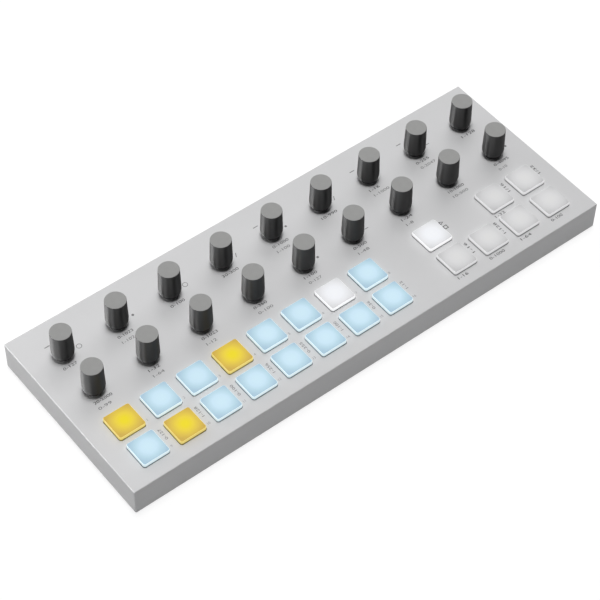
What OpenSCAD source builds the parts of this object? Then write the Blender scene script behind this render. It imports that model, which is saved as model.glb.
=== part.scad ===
// Desktop music sequencer: a flat metal case with two rows of knobs behind two rows of lit square buttons.
// Millimetres. The origin lies on the table under the middle of the case, +X to the right, +Y to the rear.

/* [Case] */
// Width of the case
case_w = 297; // [260:1:340]
// Depth of the case
case_d = 111; // [99:1:140]
// Height of the case above its feet
case_h = 16.5; // [14.5:0.5:24]
// Thickness of the upright walls
wall = 2.5; // [2:0.1:3]
// Thickness of the top panel
panel_t = 2; // [1.6:0.1:2.4]
// Radius of the upright corners
corner_r = 0.8; // [0.6:0.1:1.5]
// Radius of the edges around the top panel
edge_r = 0.5; // [0.2:0.1:0.6]

/* [Base] */
// Thickness of the base plate
base_t = 1.5; // [1.2:0.1:2]
// Gap between the base plate and the walls
base_gap = 0.2; // [0.1:0.05:0.4]
// Diameter of a rubber foot
foot_d = 12; // [8:0.5:14]
// Height of a rubber foot
foot_h = 1.5; // [1:0.1:4]
// Chamfer around the underside of a rubber foot
foot_chamfer = 0.5; // [0.2:0.1:0.8]
// Distance of a foot's centre from the outer faces of the case
foot_inset = 15; // [14:0.5:20]

/* [Fasteners] */
// Width across the flats of the hexagonal standoffs and spacers
spacer_flats = 5; // [4.5:0.1:5.5]
// Distance of the outer fasteners from the walls
fastener_inset = 4.5; // [4:0.1:5]
// Thread diameter of the screws and studs
thread_d = 2.5; // [2:0.1:2.8]
// Diameter of a countersunk screw head
head_d = 4.7; // [4.2:0.1:5]
// Width across the flats of the key socket in a screw head
key_flats = 1.5; // [1.2:0.1:1.8]
// Clear depth of a threaded hole beyond the end of its screw or stud
thread_tip = 0.5; // [0.2:0.1:0.8]

/* [Circuit board] */
// Thickness of the board
board_t = 1.6; // [1.2:0.1:2]
// Gap between the board and the walls
board_gap = 0.7; // [0.4:0.1:1]
// Width of a light under a button
led_w = 3.5; // [2:0.1:5]
// Height of a light under a button
led_h = 1.5; // [0.6:0.1:1.8]

/* [Layout] */
// Distance of the outer columns of buttons and knobs from the side faces
side_margin = 19.5; // [18:0.1:24]
// Distance of the front button row from the front face
front_margin = 16.1; // [15:0.1:18]
// Distance of the back knob row from the rear face
rear_margin = 23.4; // [21:0.1:28]
// Distance between the two button rows
button_pitch_y = 19.5; // [18.5:0.1:21]
// How much further apart the two knob rows are than the front knob row and the buttons behind it
row_spread = 1.2; // [0:0.1:4]

/* [Knobs] */
// Diameter of a knob where it is widest
knob_d = 12; // [11.6:0.1:14]
// Diameter of a knob at its top
knob_top_d = 11.5; // [10:0.1:12]
// Diameter of a knob at its underside
knob_foot_d = 10.4; // [10:0.1:12]
// Height of a knob from its underside to its top
knob_h = 18; // [14:0.1:20]
// Height of the part of a knob that rounds in towards the panel
knob_foot_h = 3.6; // [1:0.1:5]
// Gap between a knob and the panel
knob_lift = 0.6; // [0.4:0.1:2]
// Radius of the edge around a knob's top
knob_edge_r = 0.4; // [0.2:0.1:0.8]
// Thickness of a knob over its shaft
knob_roof = 3; // [2:0.1:5]

/* [Encoders] */
// Width and depth of an encoder body
encoder_w = 12.4; // [11:0.1:13]
// Height of an encoder body
encoder_h = 6.4; // [6.2:0.1:6.8]
// Thickness of the floor of an encoder body
encoder_floor = 1.5; // [1:0.1:3]
// Diameter of an encoder bushing
bushing_d = 7; // [6.6:0.1:7.4]
// Height of a bushing above the panel
bushing_rise = 2.8; // [1.5:0.1:4]
// Diameter of an encoder shaft
shaft_d = 6; // [5:0.1:6]
// Depth of the flat along a shaft
shaft_flat = 1.5; // [0.8:0.1:1.8]
// Running clearance of a shaft in its bushing, on the radius
shaft_gap = 0.05; // [0.02:0.01:0.1]
// Clearance of a bushing in the panel and in a knob, on the radius
bushing_gap = 0.3; // [0.2:0.05:0.4]

/* [Buttons] */
// Width and depth of a button cap
cap_w = 15.2; // [14:0.1:15.6]
// Radius of a cap's upright corners
cap_r = 1.2; // [0.8:0.1:2.5]
// Radius of the edges around a cap's top
cap_edge_r = 0.4; // [0.2:0.1:0.6]
// Height of a cap above the panel
cap_rise = 2.4; // [1.4:0.1:3]
// Thickness of a cap over its hollow
cap_roof = 1.5; // [1:0.1:2]
// Clearance of a cap in its opening, on each side
cap_gap = 0.25; // [0.15:0.05:0.4]
// How far a cap's flange reaches under the panel
flange_reach = 0.75; // [0.5:0.05:0.9]
// Thickness of a cap's flange
flange_t = 1; // [0.8:0.1:1.4]
// Travel of a button
cap_travel = 1.2; // [0.6:0.1:1.3]
// Rest gap between a cap and what it touches
rest_gap = 0.05; // [0.02:0.01:0.1]

/* [Dome mat] */
// Thickness of the mat between its domes
mat_t = 0.6; // [0.4:0.1:0.8]
// Height of a dome
dome_h = 2.85; // [2.6:0.05:3.2]
// Outer diameter of a dome at its foot
dome_foot_d = 15.2; // [14.4:0.1:16]
// Thickness of a dome at its foot
dome_foot_t = 0.7; // [0.5:0.1:0.9]
// Outer diameter of the ring that a cap presses on
ring_d = 11.2; // [10.6:0.1:11.6]
// Width of that ring
ring_t = 1.4; // [1:0.1:1.8]
// Margin of the mat around the outer buttons' centres
mat_margin = 9; // [8.6:0.1:9.2]

/* [Connectors] */
// Width of a jack socket
jack_w = 6; // [5:0.1:8]
// Depth of a jack socket
jack_d = 12; // [11:0.1:12.4]
// Height of a jack socket
jack_h = 5; // [4.8:0.1:5.8]
// Diameter of a jack's bore
jack_bore_d = 3.6; // [3.55:0.01:3.8]
// Thickness of the closed end behind a jack's bore
jack_end = 1; // [0.6:0.1:2]
// Diameter of the holes for the jacks in the rear wall
jack_hole_d = 6.5; // [5.5:0.1:7]
// Distance between the jacks
jack_pitch = 17; // [14:0.5:17.5]
// Distance of the first jack from the right side face
jack_margin = 53.5; // [50:0.5:56]
// Distance of the USB socket from the right side face
usb_margin = 30.5; // [26:0.5:34]
// Outer width of the USB socket
usb_w = 8.94; // [8.9:0.02:9.1]
// Outer height of the USB socket
usb_h = 3.26; // [3.2:0.02:3.4]
// Depth of the USB socket
usb_d = 7.3; // [6.5:0.1:9]
// Thickness of the USB socket's shell
usb_t = 0.3; // [0.2:0.05:0.4]
// Width of the cut-out for the USB plug
usb_cut_w = 13; // [12.4:0.1:14]
// Height of the cut-out for the USB plug
usb_cut_h = 7; // [6.6:0.1:7.4]
// Gap between the connectors and the rear wall
connector_gap = 0.1; // [0.05:0.05:0.3]

/* [Hidden] */
$fn = 64;
// Overlap that lets a cut pass cleanly through a face
over = 1;
// Straight pieces in a rounded edge, and in a knob's rounded foot
edge_steps = 4;
foot_steps = 6;
// Clearance of a thread in its hole, and of a stud in the board
thread_gap = 0.05;
stud_gap = 0.2;
// Metal left over the end of a threaded hole
thread_end = 0.8;

BUTTON_COLUMNS = 13;
STEP_COLUMNS = 8;
KNOB_COLUMNS = 9;
// Columns of the function buttons, in the front row and the back row
FRONT_COLUMNS = [9, 10, 11, 12];
BACK_COLUMNS = [9, 11, 12];
// Column and row of each button and knob, with row 0 in front
FUNCTION_CELLS = concat([for (column = FRONT_COLUMNS) [column, 0]], [for (column = BACK_COLUMNS) [column, 1]]);
STEP_CELLS = [for (row = [1, 0]) for (column = [0:STEP_COLUMNS - 1]) [column, row]];
KNOB_CELLS = [for (row = [1, 0]) for (column = [0:KNOB_COLUMNS - 1]) [column, row]];
// Place and size of each chip on the underside of the board: x, y, width, depth, height
CHIPS = [
    [40, 24, 14, 14, 1.4],
    [62, 22, 10, 7, 1],
    [105, 38, 7, 7, 0.9],
    [120, 28, 6.5, 3.5, 1.8],
    [-60, -26, 9, 9, 0.9],
    [50, -26, 9, 9, 0.9]
];

// Heights of the main faces above the table
z_base = foot_h;
z_base_top = z_base + base_t;
z_top = foot_h + case_h;
z_panel = z_top - panel_t;
z_board = z_panel - encoder_h - rest_gap;
z_board_under = z_board - board_t;
z_flange = z_panel - rest_gap - flange_t;
z_skirt = z_board + dome_h + rest_gap;
z_knob = z_top + knob_lift;
z_shaft = z_board + encoder_floor + rest_gap;
z_shaft_top = z_knob + knob_h - knob_roof;
z_bushing_top = z_top + bushing_rise;
spacer_h = z_board_under - z_base_top;
standoff_h = z_panel - z_board;

// Places on the panel
inner_w = case_w - 2 * wall;
inner_d = case_d - 2 * wall;
y_front = -case_d / 2;
y_rear = case_d / 2;
column_span = case_w - 2 * side_margin;
button_pitch_x = column_span / (BUTTON_COLUMNS - 1);
knob_pitch_x = column_span / (KNOB_COLUMNS - 1);
knob_depth = case_d - front_margin - button_pitch_y - rear_margin;
knob_pitch_y = (knob_depth + row_spread) / 2;
y_buttons = y_front + front_margin;
y_knobs = y_rear - rear_margin - knob_pitch_y;
flange_w = cap_w + 2 * (cap_gap + flange_reach);
y_connector = y_rear - wall - connector_gap;
z_jack = z_board + jack_h / 2;
z_usb = z_board + usb_h / 2;
usb_x = case_w / 2 - usb_margin;

// Fasteners stand along the clear strip between buttons and knobs and in the four corners
strip_front = y_buttons + button_pitch_y + flange_w / 2;
strip_rear = y_knobs - encoder_w / 2;
fastener_x = inner_w / 2 - fastener_inset;
fastener_y = inner_d / 2 - fastener_inset;
FASTENERS = concat(
    [for (share = [-1, -0.5, 0, 0.5, 1]) [share * fastener_x, (strip_front + strip_rear) / 2]],
    [for (x = [-fastener_x, fastener_x]) for (y = [-fastener_y, fastener_y]) [x, y]]
);

KNOB_NAMES = [for (row = ["back", "front"]) for (column = [1:KNOB_COLUMNS]) str("knob_", row, "_", column)];
STEP_NAMES = [for (i = [1:len(STEP_CELLS)]) str("step_button_", i)];
FUNCTION_NAMES = [for (i = [1:len(FUNCTION_CELLS)]) str("function_button_", i)];
JACK_NAMES = ["midi_in_jack", "midi_out_jack", "sync_in_jack", "sync_out_jack", "cv_out_jack", "gate_out_jack"];
INNER_NAMES = ["main_board", "board_chips", "button_leds", "dome_mat", "encoder_bodies"];
FASTENER_NAMES = ["panel_standoffs", "board_spacers", "base_screws"];
SHELL_NAMES = ["top_case", "base_plate", "rubber_feet", "usb_socket"];

function button_place(cell) = [
    (cell[0] - (BUTTON_COLUMNS - 1) / 2) * button_pitch_x,
    y_buttons + cell[1] * button_pitch_y
];
function knob_place(cell) = [
    (cell[0] - (KNOB_COLUMNS - 1) / 2) * knob_pitch_x,
    y_knobs + cell[1] * knob_pitch_y
];
function jack_place(i) = case_w / 2 - jack_margin - i * jack_pitch;

// Points along a quarter circle around a centre, starting at an angle
function quarter(centre, r, start) = [
    for (i = [0:edge_steps])
        let (a = start + 90 * i / edge_steps) centre + r * [cos(a), sin(a)]
];

// Points up a quarter ellipse from an underside of one radius to an upright wall of another
function swelling(r_under, r_wall, h) = [
    for (i = [0:foot_steps])
        let (a = 90 * i / foot_steps) [r_under + (r_wall - r_under) * sin(a), h * (1 - cos(a))]
];

// Upright outline of a block with rounded top edges, standing on zero
function rounded_top(w, h, r) = concat(
    [[-w / 2, 0], [w / 2, 0]],
    quarter([w / 2 - r, h - r], r, 0),
    quarter([r - w / 2, h - r], r, 90)
);

module at_each(places) {
    for (place = places)
        translate([place[0], place[1], 0])
            children();
}

module at_buttons() {
    at_each([for (cell = concat(STEP_CELLS, FUNCTION_CELLS)) button_place(cell)])
        children();
}

module at_knobs() {
    at_each([for (cell = KNOB_CELLS) knob_place(cell)])
        children();
}

// Flat outline with rounded corners, centred
module rounded_square(w, d, r) {
    square([w - 2 * r, d], center = true);
    square([w, d - 2 * r], center = true);
    for (x = [-1, 1])
        for (y = [-1, 1])
            translate([x * (w / 2 - r), y * (d / 2 - r)])
                circle(r);
}

// Block with rounded upright corners and rounded top edges, standing on zero
module rounded_block(w, d, h, side_r, top_r) {
    intersection() {
        linear_extrude(h)
            rounded_square(w, d, side_r);
        rotate([90, 0, 0])
            linear_extrude(d + 2 * over, center = true)
                polygon(rounded_top(w, h, top_r));
        rotate([90, 0, 90])
            linear_extrude(w + 2 * over, center = true)
                polygon(rounded_top(d, h, top_r));
    }
}

// Hexagonal post standing on zero
module hexagon(flats, h) {
    cylinder(d = flats / cos(30), h = h, $fn = 6);
}

// Outline that is round at both ends, centred
module slot(w, h) {
    square([w - h, h], center = true);
    for (x = [-1, 1])
        translate([x * (w - h) / 2, 0])
            circle(d = h);
}

// Places a flat outline in an upright plane, pushed from a depth towards the rear
module towards_rear(x, y, z, length) {
    translate([x, y + length, z])
        rotate([90, 0, 0])
            linear_extrude(length)
                children();
}

module rear_cutouts() {
    for (i = [0:len(JACK_NAMES) - 1])
        towards_rear(jack_place(i), y_rear - wall - over, z_jack, wall + 2 * over)
            circle(d = jack_hole_d);
    towards_rear(usb_x, y_rear - wall - over, z_usb, wall + 2 * over)
        slot(usb_cut_w, usb_cut_h);
}

module top_case() {
    color("lightgray")
        difference() {
            translate([0, 0, z_base])
                rounded_block(case_w, case_d, case_h, corner_r, edge_r);
            translate([-inner_w / 2, -inner_d / 2, z_base - over])
                cube([inner_w, inner_d, z_panel - z_base + over]);
            at_knobs()
                translate([0, 0, z_panel - over])
                    cylinder(d = bushing_d + 2 * bushing_gap, h = panel_t + 2 * over);
            at_buttons()
                translate([0, 0, z_panel - over])
                    linear_extrude(panel_t + 2 * over)
                        rounded_square(cap_w + 2 * cap_gap, cap_w + 2 * cap_gap, cap_r + cap_gap);
            rear_cutouts();
        }
}

module base_plate() {
    color("silver")
        difference() {
            translate([base_gap - inner_w / 2, base_gap - inner_d / 2, z_base])
                cube([inner_w - 2 * base_gap, inner_d - 2 * base_gap, base_t]);
            at_each(FASTENERS)
                translate([0, 0, z_base])
                    countersunk(thread_gap, base_t + over);
        }
}

module rubber_feet() {
    foot_x = case_w / 2 - foot_inset;
    foot_y = case_d / 2 - foot_inset;
    color("dimgray")
        at_each([for (x = [-foot_x, foot_x]) for (y = [-foot_y, foot_y]) [x, y]])
            rotate_extrude()
                polygon([
                    [0, 0],
                    [foot_d / 2 - foot_chamfer, 0],
                    [foot_d / 2, foot_chamfer],
                    [foot_d / 2, foot_h],
                    [0, foot_h]
                ]);
}

// Countersunk screw shape, head down on zero, grown by a clearance
module countersunk(gap, length) {
    head_h = (head_d - thread_d) / 2;
    cylinder(d1 = head_d + 2 * gap, d2 = thread_d + 2 * gap, h = head_h);
    cylinder(d = thread_d + 2 * gap, h = length);
}

module base_screws() {
    color("gray")
        at_each(FASTENERS)
            translate([0, 0, z_base])
                difference() {
                    countersunk(0, base_t + spacer_h - thread_end - thread_tip);
                    translate([0, 0, -over])
                        hexagon(key_flats, (head_d - thread_d) / 2 + over);
                }
}

module board_spacers() {
    color("goldenrod")
        at_each(FASTENERS)
            difference() {
                union() {
                    translate([0, 0, z_base_top])
                        hexagon(spacer_flats, spacer_h);
                    translate([0, 0, z_base_top])
                        cylinder(d = thread_d, h = spacer_h + board_t + standoff_h - thread_end - thread_tip);
                }
                translate([0, 0, z_base_top - over])
                    cylinder(d = thread_d + 2 * thread_gap, h = spacer_h - thread_end + over);
            }
}

module panel_standoffs() {
    color("goldenrod")
        at_each(FASTENERS)
            difference() {
                translate([0, 0, z_board])
                    hexagon(spacer_flats, standoff_h);
                translate([0, 0, z_board - over])
                    cylinder(d = thread_d + 2 * thread_gap, h = standoff_h - thread_end + over);
            }
}

module main_board() {
    board_w = inner_w - 2 * board_gap;
    board_d = inner_d - 2 * board_gap;
    color("darkgreen")
        difference() {
            translate([-board_w / 2, -board_d / 2, z_board_under])
                cube([board_w, board_d, board_t]);
            at_each(FASTENERS)
                translate([0, 0, z_board_under - over])
                    cylinder(d = thread_d + 2 * stud_gap, h = board_t + 2 * over);
        }
}

module board_chips() {
    color("black")
        for (chip = CHIPS)
            translate([chip[0] - chip[2] / 2, chip[1] - chip[3] / 2, z_board_under - chip[4]])
                cube([chip[2], chip[3], chip[4]]);
}

module button_leds() {
    color("white")
        at_buttons()
            translate([-led_w / 2, -led_w / 2, z_board])
                cube([led_w, led_w, led_h]);
}

module dome_mat() {
    foot_r = dome_foot_d / 2;
    ring_r = ring_d / 2;
    web_drop = 1.2 * dome_foot_t;
    color("whitesmoke")
        translate([0, 0, z_board]) {
            difference() {
                translate([0, y_buttons + button_pitch_y / 2, 0])
                    linear_extrude(mat_t)
                        square([column_span, button_pitch_y] + 2 * mat_margin * [1, 1], center = true);
                at_buttons()
                    translate([0, 0, -over])
                        cylinder(r = foot_r - dome_foot_t / 2, h = mat_t + 2 * over);
            }
            at_buttons()
                rotate_extrude()
                    polygon([
                        [ring_r - ring_t, cap_travel],
                        [ring_r, cap_travel],
                        [ring_r, dome_h - web_drop],
                        [foot_r - dome_foot_t, 0],
                        [foot_r, 0],
                        [foot_r, mat_t],
                        [ring_r, dome_h],
                        [ring_r - ring_t, dome_h]
                    ]);
        }
}

module encoder_bodies() {
    color("dimgray")
        at_knobs()
            difference() {
                union() {
                    translate([-encoder_w / 2, -encoder_w / 2, z_board])
                        cube([encoder_w, encoder_w, encoder_h]);
                    translate([0, 0, z_board])
                        cylinder(d = bushing_d, h = z_bushing_top - z_board);
                }
                translate([0, 0, z_board + encoder_floor])
                    cylinder(d = shaft_d + 2 * shaft_gap, h = z_bushing_top - z_board);
            }
}

// Encoder shaft: round in its bushing, with a flat along the part that drives the knob
module encoder_shaft(gap, from, to) {
    difference() {
        translate([0, 0, from])
            cylinder(d = shaft_d + 2 * gap, h = to - from);
        translate([-shaft_d, shaft_d / 2 - shaft_flat + gap, z_bushing_top + rest_gap])
            cube([2 * shaft_d, shaft_d, to]);
    }
}

module knob_shell() {
    r_top = knob_top_d / 2;
    difference() {
        translate([0, 0, z_knob])
            rotate_extrude()
                polygon(concat(
                    [[0, 0]],
                    swelling(knob_foot_d / 2, knob_d / 2, knob_foot_h),
                    quarter([r_top - knob_edge_r, knob_h - knob_edge_r], knob_edge_r, 0),
                    [[0, knob_h]]
                ));
        translate([0, 0, z_knob - over])
            cylinder(d = bushing_d + 2 * bushing_gap, h = z_bushing_top + bushing_gap - z_knob + over);
        encoder_shaft(shaft_gap, z_bushing_top, z_shaft_top + rest_gap);
    }
}

module knob(cell) {
    place = knob_place(cell);
    color("dimgray")
        translate([place[0], place[1], 0]) {
            knob_shell();
            encoder_shaft(0, z_shaft, z_shaft_top);
        }
}

module button_cap(cell, tint) {
    place = button_place(cell);
    ring_r = ring_d / 2;
    color(tint)
        translate([place[0], place[1], 0])
            difference() {
                union() {
                    translate([0, 0, z_flange])
                        rounded_block(cap_w, cap_w, z_top + cap_rise - z_flange, cap_r, cap_edge_r);
                    translate([0, 0, z_flange])
                        linear_extrude(flange_t)
                            square(flange_w, center = true);
                    translate([0, 0, z_skirt])
                        cylinder(r = ring_r, h = z_flange - z_skirt + flange_t);
                }
                translate([0, 0, z_skirt - over])
                    cylinder(r = ring_r - ring_t, h = z_top + cap_rise - cap_roof - z_skirt + over);
            }
}

module usb_socket() {
    tongue_w = 6.7;
    tongue_h = 0.7;
    back_t = 1;
    mouth_gap = 0.6;
    color("silver")
        difference() {
            towards_rear(usb_x, y_connector - usb_d, z_usb, usb_d)
                slot(usb_w, usb_h);
            towards_rear(usb_x, y_connector - usb_d + back_t, z_usb, usb_d)
                difference() {
                    slot(usb_w - 2 * usb_t, usb_h - 2 * usb_t);
                    square([tongue_w, tongue_h], center = true);
                }
            towards_rear(usb_x, y_connector - mouth_gap, z_usb, usb_d)
                slot(usb_w - 2 * usb_t, usb_h - 2 * usb_t);
        }
}

module jack(i) {
    color("black")
        difference() {
            translate([jack_place(i) - jack_w / 2, y_connector - jack_d, z_board])
                cube([jack_w, jack_d, jack_h]);
            towards_rear(jack_place(i), y_connector - jack_d + jack_end, z_jack, jack_d)
                circle(d = jack_bore_d);
        }
}

top_case();
base_plate();
rubber_feet();
usb_socket();
panel_standoffs();
board_spacers();
base_screws();
main_board();
board_chips();
button_leds();
dome_mat();
encoder_bodies();
for (i = [0:len(JACK_NAMES) - 1])
    jack(i);
for (i = [0:len(KNOB_CELLS) - 1])
    knob(KNOB_CELLS[i]);
for (i = [0:len(STEP_CELLS) - 1])
    button_cap(STEP_CELLS[i], "lightskyblue");
for (i = [0:len(FUNCTION_CELLS) - 1])
    button_cap(FUNCTION_CELLS[i], "gainsboro");
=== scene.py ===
"""Looks of a desktop music sequencer: satin knobs and lit key caps on a bead-blasted metal case."""
import math

import bmesh
import bpy
from mathutils import Matrix, Vector


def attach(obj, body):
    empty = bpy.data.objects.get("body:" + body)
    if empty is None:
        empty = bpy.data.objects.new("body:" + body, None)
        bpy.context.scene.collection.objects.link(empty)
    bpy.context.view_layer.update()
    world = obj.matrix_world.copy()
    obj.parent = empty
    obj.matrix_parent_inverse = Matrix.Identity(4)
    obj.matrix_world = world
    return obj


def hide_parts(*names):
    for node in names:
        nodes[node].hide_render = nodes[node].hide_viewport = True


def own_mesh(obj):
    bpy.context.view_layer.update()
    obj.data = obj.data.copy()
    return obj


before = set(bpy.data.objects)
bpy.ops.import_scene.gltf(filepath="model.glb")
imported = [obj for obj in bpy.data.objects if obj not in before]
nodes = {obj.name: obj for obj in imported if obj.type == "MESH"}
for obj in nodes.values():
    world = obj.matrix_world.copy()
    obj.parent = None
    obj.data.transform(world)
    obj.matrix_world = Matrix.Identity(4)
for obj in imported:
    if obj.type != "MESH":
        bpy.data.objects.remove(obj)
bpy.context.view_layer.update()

MM = 0.001

# Places and heights on the part, in millimetres
Z_PANEL = 18.0
Z_BOARD = 9.55
Y_REAR = 55.5
BUTTON_PITCH_X, BUTTON_PITCH_Y, BUTTON_Y = 21.5, 19.5, -39.4
BUTTON_COLUMNS, BUTTON_ROWS = 13, 2
KNOB_PITCH_X, KNOB_PITCH_Y, KNOB_Y = 32.25, 26.6, 5.5
KNOB_COLUMNS = 9
KNOB_ROWS = {"back": 1, "front": 0}
JACKS = ("midi_in_jack", "midi_out_jack", "sync_in_jack", "sync_out_jack", "cv_out_jack", "gate_out_jack")
JACK_X = [95 - 17 * i for i in range(len(JACKS))]
Z_JACK = 12.05
FEET = [(x, y) for x in (-133.5, 133.5) for y in (-40.5, 40.5)]

# Buttons by column and row, and the numbers of those that are lit gold or white
STEP_CELLS = [(column, row) for row in (1, 0) for column in range(8)]
FUNCTION_CELLS = [(9, 0), (10, 0), (11, 0), (12, 0), (9, 1), (11, 1), (12, 1)]
GOLD_STEPS = {1, 4, 10}
WHITE_STEPS = {7}
WHITE_FUNCTIONS = {5}


def button_place(cell):
    return (cell[0] - BUTTON_COLUMNS // 2) * BUTTON_PITCH_X, BUTTON_Y + cell[1] * BUTTON_PITCH_Y


def knob_place(column, row):
    return (column - KNOB_COLUMNS // 2) * KNOB_PITCH_X, KNOB_Y + row * KNOB_PITCH_Y


def button_rows():
    """Each button's node, cell and material slot."""
    rows = []
    for i, cell in enumerate(STEP_CELLS, 1):
        slot = "button_gold" if i in GOLD_STEPS else "button_white" if i in WHITE_STEPS else "button_blue"
        rows.append((f"step_button_{i}", cell, slot))
    for i, cell in enumerate(FUNCTION_CELLS, 1):
        rows.append((f"function_button_{i}", cell, "button_white" if i in WHITE_FUNCTIONS else "button_clear"))
    return rows


# Material nodes

# Noise stays mostly between these two values
NOISE_SPAN = (0.3, 0.7)


def linear(*rgb):
    """Colour for a shader socket from 0 to 255 screen values."""
    out = []
    for value in rgb:
        c = value / 255
        out.append(c / 12.92 if c <= 0.04045 else ((c + 0.055) / 1.055) ** 2.4)
    return (*out, 1.0)


def scaled(colour, k):
    return (colour[0] * k, colour[1] * k, colour[2] * k, 1.0)


class Shader:
    """A principled material and the nodes that feed it."""

    def __init__(self, name):
        self.material = bpy.data.materials.new(name)
        self.material.use_nodes = True
        self.tree = self.material.node_tree
        self.bsdf = self.tree.nodes["Principled BSDF"]
        self.coords = self.node("ShaderNodeTexCoord")

    def node(self, kind, inputs=None, **settings):
        made = self.tree.nodes.new(kind)
        for key, value in settings.items():
            setattr(made, key, value)
        for key, value in (inputs or {}).items():
            self.feed(made.inputs[key], value)
        return made

    def feed(self, socket, value):
        if isinstance(value, bpy.types.NodeSocket):
            self.tree.links.new(value, socket)
        else:
            socket.default_value = value

    def set(self, **values):
        for key, value in values.items():
            self.feed(self.bsdf.inputs[key.replace("_", " ")], value)

    def noise(self, size_mm, detail=2.0, roughness=0.5):
        """Noise whose features are about size_mm across."""
        made = self.node("ShaderNodeTexNoise", {
            "Vector": self.coords.outputs["Object"],
            "Scale": 1 / (size_mm * MM), "Detail": detail, "Roughness": roughness})
        return made.outputs["Fac"]

    def ramp(self, fac, stops):
        made = self.node("ShaderNodeValToRGB", {"Fac": fac})
        elements = made.color_ramp.elements
        while len(elements) < len(stops):
            elements.new(0.5)
        for element, (place, colour) in zip(elements, stops):
            element.position = place
            element.color = colour
        return made.outputs["Color"]

    def span(self, fac, low, high, source=(0.0, 1.0), smooth=False):
        """Carries the source range over to low and high."""
        made = self.node("ShaderNodeMapRange", {
            "Value": fac, "From Min": source[0], "From Max": source[1], "To Min": low, "To Max": high})
        if smooth:
            made.interpolation_type = "SMOOTHSTEP"
        return made.outputs["Result"]

    def mottled(self, colour, spread, size_mm):
        """Base colour that wanders by spread either way."""
        fac = self.noise(size_mm, 3.0)
        low, high = NOISE_SPAN
        return self.ramp(fac, [(low, scaled(colour, 1 - spread)), (high, scaled(colour, 1 + spread))])

    def bumped(self, height, strength, depth_mm):
        made = self.node("ShaderNodeBump", {"Height": height, "Strength": strength, "Distance": depth_mm * MM})
        self.feed(self.bsdf.inputs["Normal"], made.outputs["Normal"])


def grained(name, colour, roughness, grain_mm, bump, depth_mm=0.02, spread=0.03, patch_mm=6.0,
            rough_spread=0.05, **sockets):
    """A surface with fine grain, a slow drift of colour and an uneven gloss."""
    shader = Shader(name)
    shader.set(Base_Color=shader.mottled(colour, spread, patch_mm))
    grain = shader.noise(grain_mm, 3.0, 0.6)
    shader.set(Roughness=shader.span(grain, roughness - rough_spread, roughness + rough_spread, NOISE_SPAN))
    shader.bumped(grain, bump, depth_mm)
    shader.set(**sockets)
    return shader.material


# Meshes and pieces

SHARP_DEG = 35
MERGE_M = 1e-6


def add_object(name, data):
    made = bpy.data.objects.new(name, data)
    bpy.context.scene.collection.objects.link(made)
    return made


def settle(piece, body, replaces=()):
    """Lets a piece ride on a body. It may stand for CAD nodes."""
    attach(piece, body)
    if replaces:
        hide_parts(*replaces)


def circle_ring(r, z, count):
    return [Vector((r * math.cos(2 * math.pi * i / count), r * math.sin(2 * math.pi * i / count), z))
            for i in range(count)]


def square_ring(half, corner, z, count):
    """Rounded square with count points, an eighth of them in each corner and along each side, first on +X."""
    per = count // 8
    points = []
    for quarter in range(4):
        turn = Matrix.Rotation(quarter * math.pi / 2, 2)
        side = half - corner
        for i in range(per):
            points.append(turn @ Vector((half, -side + 2 * side * i / per)))
        for i in range(per):
            a = math.pi / 2 * i / per
            points.append(turn @ Vector((side + corner * math.cos(a), side + corner * math.sin(a))))
    shift = per // 2
    points = points[shift:] + points[:shift]
    return [Vector((p.x, p.y, z)) for p in points]


def arc(centre, r, start, end, steps):
    """Points (r, z) along a circular arc, angles in degrees from the +r axis."""
    angles = [math.radians(start + (end - start) * i / steps) for i in range(steps + 1)]
    return [(centre[0] + r * math.cos(a), centre[1] + r * math.sin(a)) for a in angles]


def skin(bm, rings, bands=None, cap_first=True, cap_last=True, origin=(0, 0, 0)):
    """Closed skin through rings of equal length. bands gives the material of each band, then of the two ends."""
    bands = bands or [0] * (len(rings) + 1)
    offset = Vector(origin)
    rows = [[bm.verts.new((p + offset) * MM) for p in ring] for ring in rings]
    count = len(rows[0])
    for k in range(len(rows) - 1):
        for i in range(count):
            j = (i + 1) % count
            face = bm.faces.new((rows[k][i], rows[k][j], rows[k + 1][j], rows[k + 1][i]))
            face.material_index = bands[k]
            face.smooth = True
    for wanted, row, material, flip in ((cap_first, rows[0], bands[-2], True), (cap_last, rows[-1], bands[-1], False)):
        if not wanted:
            continue
        centre = bm.verts.new(sum((v.co for v in row), Vector()) / count)
        for i in range(count):
            j = (i + 1) % count
            corner = (row[j], row[i], centre) if flip else (row[i], row[j], centre)
            face = bm.faces.new(corner)
            face.material_index = material
            face.smooth = True


def mesh_of(bm, name, materials):
    """Mesh with outward normals and sharp creases."""
    bmesh.ops.recalc_face_normals(bm, faces=bm.faces)
    for edge in bm.edges:
        if len(edge.link_faces) == 2 and edge.calc_face_angle(0) > math.radians(SHARP_DEG):
            edge.smooth = False
    mesh = bpy.data.meshes.new(name)
    bm.to_mesh(mesh)
    bm.free()
    for material in materials:
        mesh.materials.append(material)
    return mesh


# Camera

CAMERA_AT = (-0.41698, -0.50264, 0.78930)
CAMERA_RIGHT = (0.78488, -0.61949, 0.01394)
CAMERA_UP = (0.47153, 0.61172, 0.63519)
CAMERA_FORWARD = (0.40202, 0.49197, -0.77223)
LENS_MM = 119.31
SENSOR_MM = 36.0
CLIP_M = (0.01, 50)


def build_camera():
    data = bpy.data.cameras.new("camera")
    data.lens, data.sensor_width = LENS_MM, SENSOR_MM
    data.clip_start, data.clip_end = CLIP_M
    camera = add_object("camera", data)
    right, up, back = Vector(CAMERA_RIGHT), Vector(CAMERA_UP), -Vector(CAMERA_FORWARD)
    turn = Matrix((right, up, back)).transposed()
    camera.matrix_world = Matrix.Translation(CAMERA_AT) @ turn.to_4x4()
    bpy.context.scene.camera = camera


# Lights and stage, in metres and watts

AMBIENT = 0.01
LIGHT_TARGET = (0, 0, 0.02)

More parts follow.
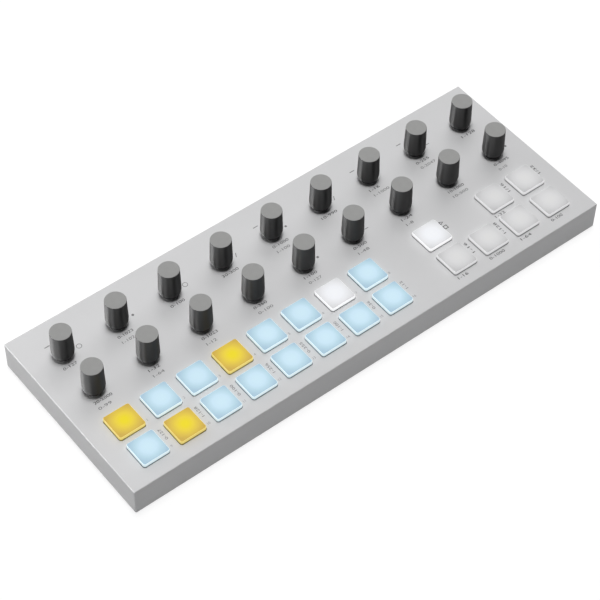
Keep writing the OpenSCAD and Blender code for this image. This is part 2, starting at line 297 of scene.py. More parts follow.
# Place, width, height, power, and whether the light falls on faces or shows in gloss only
SOFT_BOXES = {
    "overhead": ((0.0, 0.1, 3.2), 0.8, 0.8, 63.5, True),
    "rear_right": ((0.8, 0.8, 1.1314), 1.2, 1.2, 4.8, True),
    "rear_right_high": ((0.5657, 0.5657, 1.3856), 1.2, 1.2, 1.92, True),
    "rear": ((0.3518, 0.9664, 1.2257), 1.2, 1.2, 1.04, True),
    "rear_low": ((-0.2, 0.62, 0.26), 0.5, 0.3, 0.984, True),
    "left_gloss": ((-0.36, 0.05, 0.12), 0.45, 0.18, 0.85, False),
    "rear_left_gloss": ((-0.42, 0.3, 0.16), 0.4, 0.25, 2.15, False),
}

SWEEP_FLAT_R, SWEEP_BEND_R, SWEEP_HEIGHT = 2.9, 0.5, 0.75
SWEEP_BEND_STEPS, SWEEP_POINTS = 12, 96
FLOOR_GLOW, FLOOR_SHADE, FLOOR_BOUNCE = 0.86, 0.2, 0.69


def build_world():
    world = bpy.data.worlds.new("world")
    bpy.context.scene.world = world
    world.use_nodes = True
    background = world.node_tree.nodes["Background"]
    background.inputs["Color"].default_value = (1, 1, 1, 1)
    background.inputs["Strength"].default_value = AMBIENT


def any_ray(tree, kinds):
    """Socket that is 1 for rays of the named kinds and 0 for the rest."""
    path = tree.nodes.new("ShaderNodeLightPath")
    socket = path.outputs[kinds[0]]
    for kind in kinds[1:]:
        either = tree.nodes.new("ShaderNodeMath")
        either.operation = "MAXIMUM"
        tree.links.new(socket, either.inputs[0])
        tree.links.new(path.outputs[kind], either.inputs[1])
        socket = either.outputs[0]
    return socket


def diffuse(tree, level):
    made = tree.nodes.new("ShaderNodeBsdfDiffuse")
    made.inputs["Color"].default_value = (level, level, level, 1)
    return made


def floor_material():
    """White with the object's soft shadow to the eye, in gloss and through glass, and pale to all other light."""
    material = bpy.data.materials.new("floor_white")
    material.use_nodes = True
    tree = material.node_tree
    tree.nodes.clear()
    make, link = tree.nodes.new, tree.links.new
    glow = make("ShaderNodeEmission")
    glow.inputs["Strength"].default_value = FLOOR_GLOW
    shade = diffuse(tree, FLOOR_SHADE)
    white = make("ShaderNodeAddShader")
    link(glow.outputs[0], white.inputs[0])
    link(shade.outputs[0], white.inputs[1])
    bounce = diffuse(tree, FLOOR_BOUNCE)
    mix = make("ShaderNodeMixShader")
    link(any_ray(tree, ("Is Camera Ray", "Is Glossy Ray", "Is Transmission Ray")), mix.inputs[0])
    link(bounce.outputs[0], mix.inputs[1])
    link(white.outputs[0], mix.inputs[2])
    out = make("ShaderNodeOutputMaterial")
    link(mix.outputs[0], out.inputs["Surface"])
    return material


def build_floor():
    """Round sweep: a flat floor that bends up into a low wall."""
    bm = bmesh.new()
    bend = arc((SWEEP_FLAT_R, SWEEP_BEND_R), SWEEP_BEND_R, -90, 0, SWEEP_BEND_STEPS)
    profile = [(SWEEP_FLAT_R / 2, 0)] + bend + [(SWEEP_FLAT_R + SWEEP_BEND_R, SWEEP_HEIGHT)]
    skin(bm, [circle_ring(r / MM, z / MM, SWEEP_POINTS) for r, z in profile], cap_last=False)
    floor = add_object("floor", mesh_of(bm, "floor", [floor_material()]))


def build_lights():
    for name, (place, width, height, power, lights_faces) in SOFT_BOXES.items():
        lamp = bpy.data.lights.new(name, "AREA")
        lamp.shape = "RECTANGLE"
        lamp.size, lamp.size_y = width, height
        lamp.energy = power
        made = add_object(name, lamp)
        look = (Vector(LIGHT_TARGET) - Vector(place)).to_track_quat("-Z", "Y")
        made.matrix_world = Matrix.Translation(place) @ look.to_matrix().to_4x4()
        made.visible_camera, made.visible_diffuse = False, lights_faces


build_camera()
build_world()
build_floor()
build_lights()
bpy.context.scene.view_settings.view_transform = "Standard"


# Case, base and what is inside keep their CAD shapes

def case_material():
    shader = Shader("bead_blasted_aluminium")
    shader.set(Base_Color=shader.mottled(linear(206, 206, 207), 0.012, 22.0))
    blast = shader.noise(0.22, 2.0, 0.55)
    shader.set(Roughness=shader.span(blast, 0.54, 0.66, NOISE_SPAN))
    shader.bumped(blast, 0.10, 0.012)
    shader.set(Metallic=0.2, Specular_IOR_Level=0.3)
    return shader.material


def finish(material, *names):
    """Gives CAD nodes their procedural finish."""
    for name in names:
        mesh = nodes[name].data
        mesh.materials.clear()
        mesh.materials.append(material)


def finish_nodes():
    finish(case_material(), "top_case")
    finish(grained("base_aluminium", linear(190, 190, 192), 0.5, 0.3, 0.12, Metallic=0.3), "base_plate")
    finish(grained("socket_steel", linear(200, 200, 203), 0.28, 0.25, 0.05, Metallic=1.0), "usb_socket")
    finish(grained("spacer_brass", linear(205, 175, 105), 0.3, 0.3, 0.08, Metallic=1.0),
           "panel_standoffs", "board_spacers")
    finish(grained("screw_steel", linear(70, 70, 73), 0.35, 0.2, 0.08, Metallic=1.0), "base_screws")
    finish(grained("board_green", linear(22, 92, 48), 0.38, 1.2, 0.1, spread=0.12, patch_mm=2.5), "main_board")
    finish(grained("chip_black", linear(32, 32, 33), 0.6, 0.15, 0.2, spread=0.05), "board_chips")
    finish(grained("led_lens", linear(236, 236, 230), 0.25, 0.4, 0.05, spread=0.02), "button_leds")
    finish(grained("encoder_steel", linear(170, 170, 172), 0.38, 0.3, 0.1, Metallic=0.9), "encoder_bodies")
    finish(grained("jack_plastic", linear(26, 26, 27), 0.55, 0.2, 0.2, spread=0.06), *JACKS)


finish_nodes()


# Feet: rounded below, with a shallow dish

FOOT_R, FOOT_H, FOOT_EDGE_R = 6.0, 1.5, 0.65
FOOT_RIM_R, FOOT_DISH_R, FOOT_DISH = 4.9, 4.6, 0.12
FOOT_EDGE_STEPS, FOOT_POINTS = 5, 48


def build_feet():
    rubber = grained("foot_rubber", linear(38, 38, 39), 0.8, 0.3, 0.25, spread=0.06, Specular_IOR_Level=0.25)
    edge = arc((FOOT_R - FOOT_EDGE_R, FOOT_EDGE_R), FOOT_EDGE_R, -90, 0, FOOT_EDGE_STEPS)
    profile = [(FOOT_DISH_R, FOOT_DISH), (FOOT_RIM_R, 0.0)] + edge + [(FOOT_R, FOOT_H)]
    bm = bmesh.new()
    for x, y in FEET:
        skin(bm, [circle_ring(r, z, FOOT_POINTS) for r, z in profile], origin=(x, y, 0))
    feet = add_object("feet", mesh_of(bm, "feet", [rubber]))
    settle(feet, "case", ["rubber_feet"])


build_feet()


# Knobs

KNOB_R, KNOB_TOP_R, KNOB_FOOT_R = 5.95, 5.58, 4.1
KNOB_FOOT_H, KNOB_FOOT_SWELL, KNOB_EDGE_R = 4.6, 1.4, 0.3
KNOB_RIM, KNOB_INNER_R = 0.12, 2.5
Z_KNOB, Z_KNOB_TOP = 18.6, 36.6
BORE_GAP = 0.05
BUSHING_BORE_R, Z_BUSHING_BORE = 3.8, 21.1
SHAFT_R, SHAFT_FLAT_Y, SHAFT_CHAMFER = 3.0, 1.5, 0.3
Z_SHAFT, Z_SHAFT_FLAT, Z_SHAFT_TOP = 11.1, 20.85, 33.6
SHAFT_STEP = 0.01
KNOB_POINTS, SHAFT_POINTS = 96, 48
# The lowest rings of the foot are near black: painted shade under the knob
FOOT_RINGS, SHADED_FOOT_RINGS = 14, 8
KNOB_EDGE_STEPS, KNOB_TOP_BANDS = 6, 6
KNOB_SIDE, KNOB_TOP, KNOB_FOOT = 0, 1, 2


def knob_materials():
    """Side, top and foot. The foot is near black as painted shade under the knob. The side's gloss is drawn out along
    the knob, as on turned metal.
    """
    side = Shader("knob_satin")
    side.set(Base_Color=side.mottled(linear(16, 16, 17), 0.06, 3.0))
    grain = side.noise(0.16, 2.0, 0.6)
    side.set(Roughness=side.span(grain, 0.56, 0.64, NOISE_SPAN))
    side.bumped(grain, 0.06, 0.008)
    turned = side.node("ShaderNodeTangent", direction_type="RADIAL", axis="Z")
    side.set(Tangent=turned.outputs["Tangent"], Anisotropic=1.0, Anisotropic_Rotation=0.25)
    side.set(IOR=1.58, Specular_IOR_Level=1.0)
    # Light grey top: partly a grey insert, partly painted light from above on the dark knob
    top = Shader("knob_top_insert_and_painted_light")
    top.set(Base_Color=top.mottled(linear(154, 154, 153), 0.02, 3.0))
    fine = top.noise(0.14, 2.0, 0.6)
    top.set(Roughness=top.span(fine, 0.48, 0.58, NOISE_SPAN))
    top.bumped(fine, 0.10, 0.010)
    top.set(Specular_IOR_Level=0.3)
    # Near-black foot: painted shade where the knob's underside faces its own shadow
    foot = grained("knob_foot_painted_shade", linear(9, 9, 10), 0.65, 0.16, 0.06, 0.008, spread=0.06, patch_mm=3.0,
                   Specular_IOR_Level=0.12)
    return [side.material, top.material, foot]


def knob_profile():
    """Points (r, z) from the end of the bore over the foot to the top, and the material of each band."""
    bore = [(SHAFT_R + BORE_GAP, Z_SHAFT_TOP + BORE_GAP), (SHAFT_R + BORE_GAP, Z_BUSHING_BORE),
            (BUSHING_BORE_R, Z_BUSHING_BORE), (BUSHING_BORE_R, Z_KNOB)]
    foot = []
    for i in range(FOOT_RINGS):
        a = math.pi / 2 * i / (FOOT_RINGS - 1)
        swell = math.sin(a) ** KNOB_FOOT_SWELL
        foot.append((KNOB_FOOT_R + (KNOB_R - KNOB_FOOT_R) * swell, Z_KNOB + KNOB_FOOT_H * (1 - math.cos(a))))
    edge_r = KNOB_TOP_R - KNOB_EDGE_R
    edge = arc((edge_r, Z_KNOB_TOP - KNOB_EDGE_R), KNOB_EDGE_R, 0, 90, KNOB_EDGE_STEPS)
    profile = bore + foot + edge + [(edge_r - KNOB_RIM, Z_KNOB_TOP), (KNOB_INNER_R, Z_KNOB_TOP)]
    # The bore and the lowest foot rings take the near-black painted-shade material
    dark = len(bore) + SHADED_FOOT_RINGS
    plain = len(profile) - 1 - dark - KNOB_TOP_BANDS
    bands = [KNOB_FOOT] * dark + [KNOB_SIDE] * plain + [KNOB_TOP] * KNOB_TOP_BANDS
    return profile, bands + [KNOB_FOOT, KNOB_TOP]


def shaft_rings():
    """Encoder shaft: chamfered at both ends, with a flat inside the knob."""
    rings = []
    for r, z, flat in ((SHAFT_R - SHAFT_CHAMFER, Z_SHAFT, False), (SHAFT_R, Z_SHAFT + SHAFT_CHAMFER, False),
                       (SHAFT_R, Z_SHAFT_FLAT - SHAFT_STEP, False), (SHAFT_R, Z_SHAFT_FLAT, True),
                       (SHAFT_R, Z_SHAFT_TOP - SHAFT_CHAMFER, True), (SHAFT_R - SHAFT_CHAMFER, Z_SHAFT_TOP, True)):
        ring = circle_ring(r, z, SHAFT_POINTS)
        if flat:
            ring = [Vector((p.x, min(p.y, SHAFT_FLAT_Y), p.z)) for p in ring]
        rings.append(ring)
    return rings


def build_knobs():
    bm = bmesh.new()
    profile, bands = knob_profile()
    skin(bm, [circle_ring(r, z, KNOB_POINTS) for r, z in profile], bands)
    skin(bm, shaft_rings())
    mesh = mesh_of(bm, "knob", knob_materials())
    for label, row in KNOB_ROWS.items():
        for column in range(KNOB_COLUMNS):
            node = f"knob_{label}_{column + 1}"
            piece = add_object(node + "_cap", mesh)
            x, y = knob_place(column, row)
            piece.location = (x * MM, y * MM, 0)
            settle(piece, node, [node])


build_knobs()


# Key caps

CAP_HALF, CAP_CORNER, CAP_BEVEL = 7.6, 1.2, 0.4
CAP_INNER_HALF, CAP_INNER_CORNER = 4.5, 1.0
Z_FLANGE, Z_FLANGE_TOP, Z_CAP_TOP = 14.95, 15.95, 20.4
Z_SKIRT, SKIRT_R, HOLLOW_R, Z_HOLLOW = 12.45, 5.6, 4.2, 18.9
FLANGE_HALF, FLANGE_CORNER = 8.6, 0.3
CAP_POINTS = 64
BEVEL_STEPS, BEVEL_WALL_STEPS = 6, 4
CAP_TOP, CAP_WALL, CAP_FOOT = 0, 1, 2

# The lamp under a lit cap shows as a round glow, given as emission and repeated in the base colour as painted light.
# Its colours as the eye sees them, from the middle outwards. On the clear caps, whose lamps are off, the whole glow is
# painted light. The middle of the glow sits towards the right rear, shifted as painted light from the lamps there.
GLOW_PAINTED_SHIFT = (0.3, 0.3)
GLOW_CLOUD_MM, GLOW_WANDER = 2.2, 0.2
GLOW_STOPS = (1.5, 4.0, 6.5, 9.0)
GLOW_COLOURS = {
    "button_gold": ((246, 224, 25), (242, 215, 60), (228, 197, 73), (213, 178, 77)),
    "button_blue": ((210, 239, 253), (207, 236, 252), (190, 222, 237), (175, 206, 225)),
    "button_white": ((249, 251, 255), (247, 249, 253), (238, 239, 242), (224, 225, 227)),
    "button_clear": ((230, 230, 230), (227, 227, 228), (219, 219, 220), (205, 205, 206)),
}
# The share of it that is light of the cap's own; on the clear caps it is painted glow
GLOW_SHARE = {"button_gold": 0.55, "button_blue": 0.55, "button_white": 0.5, "button_clear": 0.12}

# Walls: colour, and strength of the glow in the upper part and the lower bevel: on lit caps partly the lamp's light
# and partly a painted highlight on the rim, on the clear caps all painted light. It fades out towards the slot in the
# panel as a painted shadow line.
WALLS = {
    "button_gold": ((247, 224, 128), 0.66),
    "button_blue": ((230, 249, 255), 0.72),
    "button_white": ((251, 251, 252), 0.78),
    "button_clear": ((236, 236, 237), 0.66),
}
WALL_SHADE_FADE = (18.0, 19.15)
WALL_CLOUD_MM, WALL_WANDER = 1.5, 0.1
WALL_BASE, WALL_SHADE_LEVEL, CAP_FOOT_SHADE = 0.5, 0.04, 0.22


def cap_top(slot):
    top = Shader(slot + "_top")
    shifted = top.node("ShaderNodeVectorMath", {
        0: top.coords.outputs["Object"], 1: (-GLOW_PAINTED_SHIFT[0] * MM, -GLOW_PAINTED_SHIFT[1] * MM, 0)}, operation="ADD")
    flat = top.node("ShaderNodeVectorMath", {0: shifted.outputs[0], 1: (1, 1, 0)}, operation="MULTIPLY")
    far = top.node("ShaderNodeVectorMath", {0: flat.outputs[0]}, operation="LENGTH")
    cloud = top.span(top.noise(GLOW_CLOUD_MM), -GLOW_WANDER * MM, GLOW_WANDER * MM)
    uneven = top.node("ShaderNodeMath", {0: far.outputs["Value"], 1: cloud}, operation="ADD")
    fac = top.span(uneven.outputs[0], 0, 1, (0, GLOW_STOPS[-1] * MM))
    share = GLOW_SHARE[slot]
    stops = [(d / GLOW_STOPS[-1], linear(*c)) for d, c in zip(GLOW_STOPS, GLOW_COLOURS[slot])]
    # Base colour repeats the glow's falloff: painted light under the emission
    top.set(Base_Color=top.ramp(fac, [(place, scaled(c, 1 - share)) for place, c in stops]))
    top.set(Emission_Color=top.ramp(fac, stops), Emission_Strength=share)
    grain = top.noise(0.25)
    top.set(Roughness=top.span(grain, 0.42, 0.52, NOISE_SPAN), Specular_IOR_Level=0.25)
    top.bumped(grain, 0.06, 0.010)
    return top.material


def cap_wall(slot):
    colour, light = linear(*WALLS[slot][0]), WALLS[slot][1]
    wall = Shader(slot + "_wall_glow_and_painted_light")
    parts = wall.node("ShaderNodeSeparateXYZ", {0: wall.coords.outputs["Object"]})
    cloud = wall.span(wall.noise(WALL_CLOUD_MM), -WALL_WANDER * MM, WALL_WANDER * MM)
    height = wall.node("ShaderNodeMath", {0: parts.outputs["Z"], 1: cloud}, operation="ADD")
    # Glow fades out downwards: painted shadow line along the slot
    lit = wall.span(height.outputs[0], 0, 1, [z * MM for z in WALL_SHADE_FADE], smooth=True)
    wall.set(Base_Color=wall.mottled(scaled(colour, WALL_BASE), 0.02, 2.0))
    wall.set(Emission_Color=wall.ramp(lit, [(0, scaled(colour, WALL_SHADE_LEVEL)), (1, colour)]), Emission_Strength=light)
    wall.set(Roughness=wall.span(wall.noise(0.25), 0.34, 0.44), Specular_IOR_Level=0.25)
    return wall.material


def cap_materials(slot):
    # Skirt and flange take the wall colour darkened: painted shade in the slot under the panel
    foot = grained(slot + "_foot", scaled(linear(*WALLS[slot][0]), CAP_FOOT_SHADE), 0.55, 0.3, 0.1)
    return [cap_top(slot), cap_wall(slot), foot]


def cap_rings():
    """Cap from its hollow skirt over the flange to the top, and the material of each band."""
    rings = [circle_ring(r, z, CAP_POINTS) for r, z in (
        (HOLLOW_R, Z_HOLLOW), (HOLLOW_R, Z_SKIRT), (SKIRT_R, Z_SKIRT), (SKIRT_R, Z_FLANGE))]
    rings += [square_ring(half, corner, z, CAP_POINTS) for half, corner, z in (
        (FLANGE_HALF, FLANGE_CORNER, Z_FLANGE), (FLANGE_HALF, FLANGE_CORNER, Z_FLANGE_TOP),
        (CAP_HALF, CAP_CORNER, Z_FLANGE_TOP))]
    bands = [CAP_FOOT] * (len(rings) - 1) + [CAP_WALL]
    bevel = arc((CAP_HALF - CAP_BEVEL, Z_CAP_TOP - CAP_BEVEL), CAP_BEVEL, 0, 90, BEVEL_STEPS)
    for k, (half, z) in enumerate(bevel):
        rings.append(square_ring(half, CAP_CORNER - (CAP_HALF - half), z, CAP_POINTS))
        # Lower bevel steps take the wall's glow: a painted highlight along the cap's edge
        bands.append(CAP_WALL if k < BEVEL_WALL_STEPS else CAP_TOP)
    rings.append(square_ring(CAP_INNER_HALF, CAP_INNER_CORNER, Z_CAP_TOP, CAP_POINTS))
    return rings, bands + [CAP_FOOT, CAP_TOP]


def build_caps():
    rings, bands = cap_rings()
    meshes = {}
    for slot in GLOW_COLOURS:
        bm = bmesh.new()
        skin(bm, rings, bands)
        meshes[slot] = mesh_of(bm, slot + "_cap", cap_materials(slot))
    for node, cell, slot in button_rows():
        piece = add_object(node + "_cap", meshes[slot])
        x, y = button_place(cell)
        piece.location = (x * MM, y * MM, 0)
        settle(piece, node, [node])


build_caps()


# Silicone mat: a web on the board, and a dome under each cap, each dome with its own copy of the mesh

MAT_T, MAT_MARGIN = 0.6, 9.0
DOME_H, DOME_FOOT_R, DOME_FOOT_T, DOME_ROOF_T = 2.85, 7.6, 0.7, 0.84
DOME_SHOULDER_R, DOME_SHOULDER_H = 0.25, 0.12
RING_R, RING_T, RING_LIFT = 5.6, 1.4, 1.2
WEB_HOLE_R = 7.5
TILE_SIDE_POINTS, DOME_POINTS = 12, 64


def tile_span(place, pitch, index, count):
    """Low and high end of a tile of the web, with the mat's margin at either end of the row."""
    low = MAT_MARGIN if index == 0 else pitch / 2
    high = MAT_MARGIN if index == count - 1 else pitch / 2
    return place - low, place + high


def tile_ring(x_span, y_span):
    """Points (x, y) round a rectangle, TILE_SIDE_POINTS to a side."""
    corners = [(x_span[0], y_span[0]), (x_span[1], y_span[0]), (x_span[1], y_span[1]), (x_span[0], y_span[1])]
    points = []
    for (ax, ay), (bx, by) in zip(corners, corners[1:] + corners[:1]):
        for i in range(TILE_SIDE_POINTS):
            t = i / TILE_SIDE_POINTS
            points.append((ax + (bx - ax) * t, ay + (by - ay) * t))
    return points


def web_mesh(cells, material):
    """Flat web made of one tile to a place, with a hole under each button."""
    bm = bmesh.new()
    for column in range(BUTTON_COLUMNS):
        for row in range(BUTTON_ROWS):
            x, y = button_place((column, row))
            outer = tile_ring(tile_span(x, BUTTON_PITCH_X, column, BUTTON_COLUMNS),
                              tile_span(y, BUTTON_PITCH_Y, row, BUTTON_ROWS))
            angles = [math.atan2(py - y, px - x) for px, py in outer]
            inner = [(x + WEB_HOLE_R * math.cos(a), y + WEB_HOLE_R * math.sin(a)) for a in angles]
            low, high = Z_BOARD, Z_BOARD + MAT_T
            rings = [[Vector((px, py, z)) for px, py in loop]
                     for z, loop in ((low, outer), (low, inner), (high, inner), (high, outer))]
            if (column, row) in cells:
                skin(bm, rings, cap_first=False, cap_last=False)
            else:
                skin(bm, rings[:2], cap_first=False)
                skin(bm, rings[2:], cap_last=False)
    bmesh.ops.remove_doubles(bm, verts=bm.verts, dist=MERGE_M)
    border = [edge for edge in bm.edges if len(edge.link_faces) == 1]
    bmesh.ops.bridge_loops(bm, edges=border)
    return mesh_of(bm, "mat_web", [material])


def dome_mesh(material):
    """Dome with the thick ring that carries a cap's skirt."""
    profile = [(RING_R - RING_T, RING_LIFT), (RING_R, RING_LIFT), (RING_R, DOME_H - DOME_ROOF_T),
               (DOME_FOOT_R - DOME_FOOT_T, 0), (DOME_FOOT_R, 0), (DOME_FOOT_R, MAT_T),
               (RING_R + DOME_SHOULDER_R, DOME_H - DOME_SHOULDER_H), (RING_R, DOME_H), (RING_R - RING_T, DOME_H)]
    rings = [circle_ring(r, Z_BOARD + z, DOME_POINTS) for r, z in profile + profile[:1]]
    bm = bmesh.new()
    skin(bm, rings, cap_first=False, cap_last=False)
    bmesh.ops.remove_doubles(bm, verts=bm.verts, dist=MERGE_M)
    return mesh_of(bm, "dome", [material])


def build_mat():
    silicone = grained("silicone", linear(226, 228, 230), 0.55, 0.5, 0.1, spread=0.02)
    rows = button_rows()
    web = add_object("mat_web", web_mesh({cell for node, cell, slot in rows}, silicone))
    settle(web, "case", ["dome_mat"])
    mesh = dome_mesh(silicone)
    for node, cell, slot in rows:
        dome = add_object(node + "_dome", mesh)
        x, y = button_place(cell)
        dome.location = (x * MM, y * MM, 0)
        settle(dome, "case")
        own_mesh(dome)


build_mat()


# Ink shapes

INK_SINK, INK_RISE = 0.02, 0.03
INK_MERGE_MM = 1e-5
NUMERAL_HEIGHT = 0.73


def numeral_mesh(words):
    """Solid numerals of font size 1, extruded by half a unit either way."""
    curve = bpy.data.curves.new("numerals", "FONT")
    curve.body = words
    curve.resolution_u = 3
    curve.extrude = 0.5
    holder = add_object("numerals", curve)
    mesh = bpy.data.meshes.new_from_object(holder.evaluated_get(bpy.context.evaluated_depsgraph_get()))
    bpy.data.objects.remove(holder)
    bpy.data.curves.remove(curve)
    return mesh


class Print:
    """Thin ink shapes on a face, drawn in millimetres in the plane of the face."""

    def __init__(self):
        self.bm = bmesh.new()

    def solid(self, outer, inner=None):
        """Ink between an outline and an optional hole with as many points."""
        count = len(outer)
        loops = [[self.bm.verts.new((x, y, z)) for x, y in outer] for z in (-INK_SINK, INK_RISE)]
        if inner is None:
            self.bm.faces.new(loops[0][::-1])
            self.bm.faces.new(loops[1])
        else:
            loops += [[self.bm.verts.new((x, y, z)) for x, y in inner] for z in (INK_RISE, -INK_SINK)]
        for k in range(len(loops) if inner else 1):
            low, high = loops[k], loops[(k + 1) % len(loops)]
            for i in range(count):
                j = (i + 1) % count
                self.bm.faces.new((low[i], low[j], high[j], high[i]))

    def ring(self, x, y, r, width, count):
        turn = [(math.cos(2 * math.pi * i / count), math.sin(2 * math.pi * i / count)) for i in range(count)]
        self.solid([(x + r * c, y + r * s) for c, s in turn],
                   [(x + (r - width) * c, y + (r - width) * s) for c, s in turn])

    def dot(self, x, y, r, count):
        angles = [2 * math.pi * i / count for i in range(count)]
        self.solid([(x + r * math.cos(a), y + r * math.sin(a)) for a in angles])

    def outline(self, corners, share):
        """Frame of a convex shape, its corners given anticlockwise. share is the frame's part of the way in."""
        middle = Vector((sum(c[0] for c in corners) / len(corners), sum(c[1] for c in corners) / len(corners)))
        self.solid(corners, [tuple(middle + (Vector(c) - middle) * (1 - share)) for c in corners])

    def bar(self, start, end, width):
        a, b = Vector(start), Vector(end)
        side = (b - a).normalized().orthogonal() * width / 2
        self.solid([tuple(a + side), tuple(a - side), tuple(b - side), tuple(b + side)])

    def numbers(self, words, x, y, height, width=None, upward=False):
        """Numerals from x on, centred on y; upward ones run along +Y from there and are centred on x."""
        mesh = numeral_mesh(words)
        left, right = min(v.co.x for v in mesh.vertices), max(v.co.x for v in mesh.vertices)
        tall = height / NUMERAL_HEIGHT
        wide = width / (right - left) if width else tall
        start = len(self.bm.verts)
        self.bm.from_mesh(mesh)
        self.bm.verts.ensure_lookup_table()
        for vert in self.bm.verts[start:]:
            along = (vert.co.x - left) * wide
            across = (vert.co.y - NUMERAL_HEIGHT / 2) * tall
            z = INK_RISE if vert.co.z > 0 else -INK_SINK
            vert.co = (x - across, y + along, z) if upward else (x + along, y + across, z)
        bpy.data.meshes.remove(mesh)

    def piece(self, name, place, material):
        """Puts the ink on its face. place turns the drawing's plane into the part's frame, in metres."""
        bmesh.ops.remove_doubles(self.bm, verts=self.bm.verts, dist=INK_MERGE_MM)
        bmesh.ops.recalc_face_normals(self.bm, faces=self.bm.faces)
        mesh = bpy.data.meshes.new(name)
        self.bm.to_mesh(mesh)
        self.bm.free()
        mesh.transform(place)
        mesh.materials.append(material)
        settle(add_object(name, mesh), "case")


# Print on the panel and the rear: plain numbers and simple marks, in millimetres from a knob's or button's middle

# First and second lines under the knobs, with their widths
BACK_LABELS = [
    ("0-127", 8, "", 0), ("0-1023", 9, "1-1024", 9), ("0-100", 8.5, "", 0), ("30-300", 10, "", 0),
    ("0-1000", 10, "1-100", 8), ("10-990", 10, "", 0), ("1-16", 6.5, "1-1000", 10), ("0-255", 8.5, "0-2047", 10),
    ("1-128", 9, "", 0)]
FRONT_LABELS = [
    ("20-2000", 10.5, "0-99", 7.5), ("1-32", 6.5, "1-64", 6.5), ("0-1023", 9.5, "1-12", 6),
    ("0-360", 8, "0-100", 9), ("1-100", 8, "0-127", 8), ("0-500", 8.5, "1-48", 7), ("1-24", 7, "1-8", 4.5),
    ("10-1000", 10.5, "10-500", 10), ("0-4095", 10, "0-10", 5.5)]
LABEL_HEIGHT = 1.75
LABEL_DX = -5.0
LINE_DY = {"back": (-7.5, -11.4), "front": (-7.0, -11.0)}

# Marks to the right of knobs, by column and row
MARKS = {(0, 1): "ring", (1, 1): "dot", (2, 1): "ring", (3, 1): "slash", (4, 1): "dot", (5, 1): "slash",
         (7, 1): "dash", (4, 0): "dot", (5, 0): "dash", (8, 0): "dot"}
MARK_DX, MARK_WIDTH = 9.3, 0.4
MARK_RING_R, MARK_RING_WIDTH, MARK_RING_POINTS = 1.5, 0.3, 28
MARK_DOT_R, MARK_DOT_POINTS = 0.7, 16
MARK_SLASH_X, MARK_SLASH_Y, MARK_DASH_X = 0.7, 1.3, 1.2

# Short dashes behind some knobs of the back row
DASHED_COLUMNS = (0, 4, 6, 7)
DASH_X, DASH_DY, DASH_WIDTH = (-5.0, -2.0), 9.1, 0.45

# Numbers of the steps, and upright numbers beside the front row of steps with their widths
STEP_NUMBER_AT, STEP_NUMBER_HEIGHT = (9.6, -4.9), 1.5
STEP_LABELS = [("0-127", 7.2), ("1-128", 7.0), ("0-100", 7.6), ("1-256", 6.8), ("0-255", 7.6), ("1-100", 6.6),
               ("0-36", 5.8), ("1-12", 5.6)]
STEP_LABEL_DX, STEP_LABEL_END, UPRIGHT_HEIGHT = 10.7, 6.7, 1.6

# Function buttons: numbers below them (words, drop, width) and upright ones beside them (words, start, width)
FUNCTION_LABELS = {(9, 0): ("1-16", -9.8, 6.5), (10, 0): ("0-1000", -9.8, 10), (11, 0): ("1-64", -9.8, 7),
                   (12, 0): ("0-100", -9.8, 7.5), (11, 1): ("1-32", -9.6, 6.5)}
FUNCTION_LABEL_DX = -7.6
UPRIGHT_LABELS = {(9, 0): ("1-16", -1.6, 8), (10, 0): ("1-128", -1.6, 9), (11, 1): ("1/16", -0.6, 7),
                  (12, 1): ("1/32", -0.6, 7)}
UPRIGHT_DX = 10.4

# Start and stop marks beside a function button: their corners, and the frame's share
START_STOP_CELL, START_STOP_DX = (9, 1), 10.3
START_MARK, START_FRAME = [(-1.1, 3.4), (1.3, 4.6), (-1.1, 5.8)], 0.45
STOP_MARK, STOP_FRAME = [(-1.2, -0.2), (1.2, -0.2), (1.2, 2.2), (-1.2, 2.2)], 0.3

REAR_NUMBER_DX, REAR_NUMBER_DZ, REAR_NUMBER_HEIGHT = -6.2, -0.1, 2.0


def ink(name, level, spread):
    return grained(name, linear(level, level, level + 1), 0.6, 0.2, 0.1, 0.004, spread=spread, patch_mm=1.2,
                   Specular_IOR_Level=0.2)


def print_knob_labels(dark, pale):
    for (label, row), lines in zip(KNOB_ROWS.items(), (BACK_LABELS, FRONT_LABELS)):
        for column, (first, first_width, second, second_width) in enumerate(lines):
            x, y = knob_place(column, row)
            first_dy, second_dy = LINE_DY[label]
            dark.numbers(first, x + LABEL_DX, y + first_dy, LABEL_HEIGHT, first_width)
            if second:
                pale.numbers(second, x + LABEL_DX, y + second_dy, LABEL_HEIGHT, second_width)


def print_knob_marks(pale):
    for (column, row), mark in MARKS.items():
        x, y = knob_place(column, row)
        x += MARK_DX
        if mark == "ring":
            pale.ring(x, y, MARK_RING_R, MARK_RING_WIDTH, MARK_RING_POINTS)
        elif mark == "dot":
            pale.dot(x, y, MARK_DOT_R, MARK_DOT_POINTS)
        elif mark == "slash":
            pale.bar((x - MARK_SLASH_X, y - MARK_SLASH_Y), (x + MARK_SLASH_X, y + MARK_SLASH_Y), MARK_WIDTH)
        else:
            pale.bar((x - MARK_DASH_X, y), (x + MARK_DASH_X, y), MARK_WIDTH)
    for column in DASHED_COLUMNS:
        x, y = knob_place(column, KNOB_ROWS["back"])
        pale.bar((x + DASH_X[0], y + DASH_DY), (x + DASH_X[1], y + DASH_DY), DASH_WIDTH)


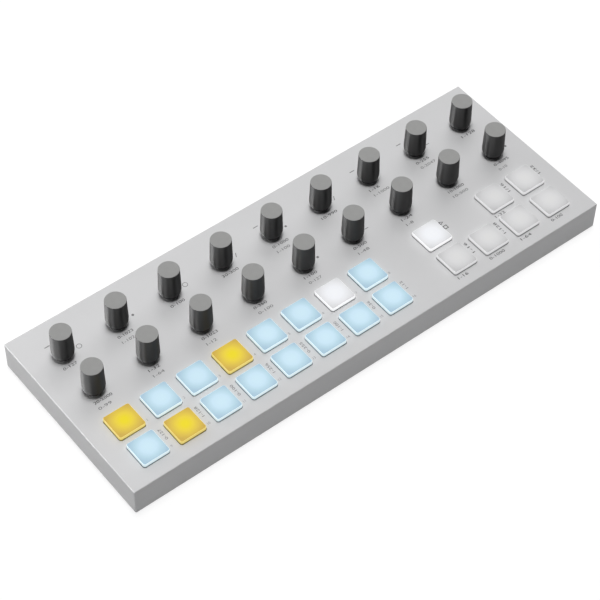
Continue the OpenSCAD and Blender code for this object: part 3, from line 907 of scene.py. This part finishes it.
def print_step_labels(pale, faint):
    for i, (column, row) in enumerate(STEP_CELLS, 1):
        x, y = button_place((column, row))
        faint.numbers(str(i), x + STEP_NUMBER_AT[0], y + STEP_NUMBER_AT[1], STEP_NUMBER_HEIGHT)
        if row == 0:
            words, width = STEP_LABELS[column]
            pale.numbers(words, x + STEP_LABEL_DX, y + STEP_LABEL_END - width, UPRIGHT_HEIGHT, width, upward=True)


def print_function_labels(dark):
    for cell, (words, drop, width) in FUNCTION_LABELS.items():
        x, y = button_place(cell)
        dark.numbers(words, x + FUNCTION_LABEL_DX, y + drop, LABEL_HEIGHT, width)
    for cell, (words, start, width) in UPRIGHT_LABELS.items():
        x, y = button_place(cell)
        dark.numbers(words, x + UPRIGHT_DX, y + start, UPRIGHT_HEIGHT, width, upward=True)
    x, y = button_place(START_STOP_CELL)
    for corners, share in ((START_MARK, START_FRAME), (STOP_MARK, STOP_FRAME)):
        dark.outline([(x + START_STOP_DX + dx, y + dy) for dx, dy in corners], share)


def build_print():
    dark_ink, pale_ink, faint_ink = ink("ink_dark", 62, 0.10), ink("ink_pale", 118, 0.08), ink("ink_faint", 150, 0.06)
    dark, pale, faint = Print(), Print(), Print()
    print_knob_labels(dark, pale)
    print_knob_marks(pale)
    print_step_labels(pale, faint)
    print_function_labels(dark)
    panel = Matrix.Translation((0, 0, Z_PANEL * MM)) @ Matrix.Scale(MM, 4)
    dark.piece("panel_print_dark", panel, dark_ink)
    pale.piece("panel_print_pale", panel, pale_ink)
    faint.piece("panel_print_faint", panel, faint_ink)
    # Numbers beside the sockets, read from behind
    rear = Print()
    for i, x in enumerate(JACK_X, 1):
        rear.numbers(str(i), -x + REAR_NUMBER_DX, Z_JACK + REAR_NUMBER_DZ, REAR_NUMBER_HEIGHT)
    turn = Matrix.Rotation(math.pi, 4, "Z") @ Matrix.Rotation(math.pi / 2, 4, "X")
    rear.piece("rear_print", Matrix.Translation((0, Y_REAR * MM, 0)) @ turn @ Matrix.Scale(MM, 4), dark_ink)


build_print()
